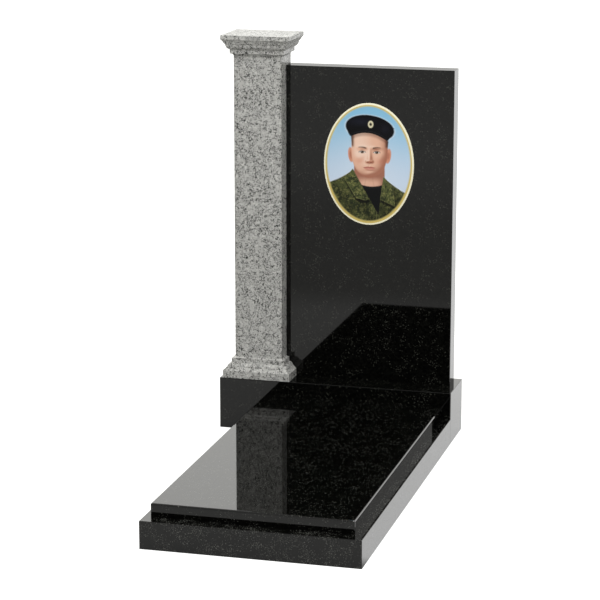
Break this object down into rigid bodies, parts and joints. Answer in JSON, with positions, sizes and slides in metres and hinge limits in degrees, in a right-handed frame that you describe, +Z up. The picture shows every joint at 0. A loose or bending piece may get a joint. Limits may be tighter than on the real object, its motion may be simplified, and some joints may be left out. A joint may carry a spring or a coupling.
{
  "type": "grave memorial with pillar and stele",
  "caption": "Polished granite grave memorial: grey square pillar and black stele with an oval portrait on a base block, and a cover slab on its kerb in front.",
  "frame": {"origin": "on the ground under the middle of the whole memorial", "axes": "+X along the stele, to the right as seen from the front; +Y towards the back of the stele; +Z up"},
  "size_m": [0.8454, 1.5346, 1.414],
  "materials": {
    "black_granite": "polished",
    "grey_granite": "polished, dark flecks",
    "portrait_ceramic": "glazed, painted picture, gold rim line"
  },
  "bodies": {
    "root": {"base_block": "black_granite", "kerb": "black_granite", "cover_slab": "black_granite", "stele": "black_granite", "pillar_base": "grey_granite", "pillar_shaft": "grey_granite", "pillar_capital": "grey_granite", "portrait_oval": "portrait_ceramic"}
  },
  "joints": []
}
